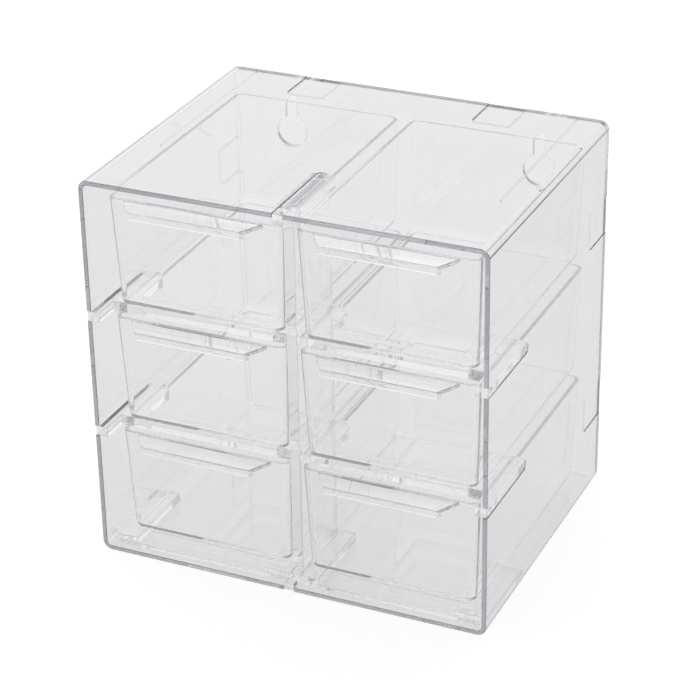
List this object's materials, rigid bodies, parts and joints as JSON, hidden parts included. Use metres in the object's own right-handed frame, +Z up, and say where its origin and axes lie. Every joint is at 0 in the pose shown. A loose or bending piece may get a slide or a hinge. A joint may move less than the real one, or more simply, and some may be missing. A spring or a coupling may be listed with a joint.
{
  "type": "desktop storage box",
  "caption": "Clear plastic desktop storage box: open-fronted casing with two columns of lipped drawers that slide out, and a back panel with keyholes for wall hanging.",
  "frame": {"origin": "middle of the base, at the height of the surface the box stands on", "axes": "+X to the right seen from the front, along the width; the drawers open towards -Y; +Z up"},
  "size_m": [0.17, 0.1324, 0.1662],
  "materials": {
    "clear_shell": "clear moulded polystyrene, polished",
    "clear_drawer": "clear moulded polystyrene, polished"
  },
  "bodies": {
    "box": {"casing": "clear_shell", "back_panel": "clear_shell", "front_frame": "clear_shell"},
    "left_bottom_drawer": {"left_bottom_drawer": "clear_drawer"},
    "right_bottom_drawer": {"right_bottom_drawer": "clear_drawer"},
    "left_middle_drawer": {"left_middle_drawer": "clear_drawer"},
    "right_middle_drawer": {"right_middle_drawer": "clear_drawer"},
    "left_top_drawer": {"left_top_drawer": "clear_drawer"},
    "right_top_drawer": {"right_top_drawer": "clear_drawer"}
  },
  "joints": [
    {"name": "left_bottom_slide", "type": "slide", "parent": "box", "child": "left_bottom_drawer", "axis": [0, -1, 0], "range_m": [0, 0.085]},
    {"name": "right_bottom_slide", "type": "slide", "parent": "box", "child": "right_bottom_drawer", "axis": [0, -1, 0], "range_m": [0, 0.085]},
    {"name": "left_middle_slide", "type": "slide", "parent": "box", "child": "left_middle_drawer", "axis": [0, -1, 0], "range_m": [0, 0.085]},
    {"name": "right_middle_slide", "type": "slide", "parent": "box", "child": "right_middle_drawer", "axis": [0, -1, 0], "range_m": [0, 0.085]},
    {"name": "left_top_slide", "type": "slide", "parent": "box", "child": "left_top_drawer", "axis": [0, -1, 0], "range_m": [0, 0.085]},
    {"name": "right_top_slide", "type": "slide", "parent": "box", "child": "right_top_drawer", "axis": [0, -1, 0], "range_m": [0, 0.085]}
  ]
}
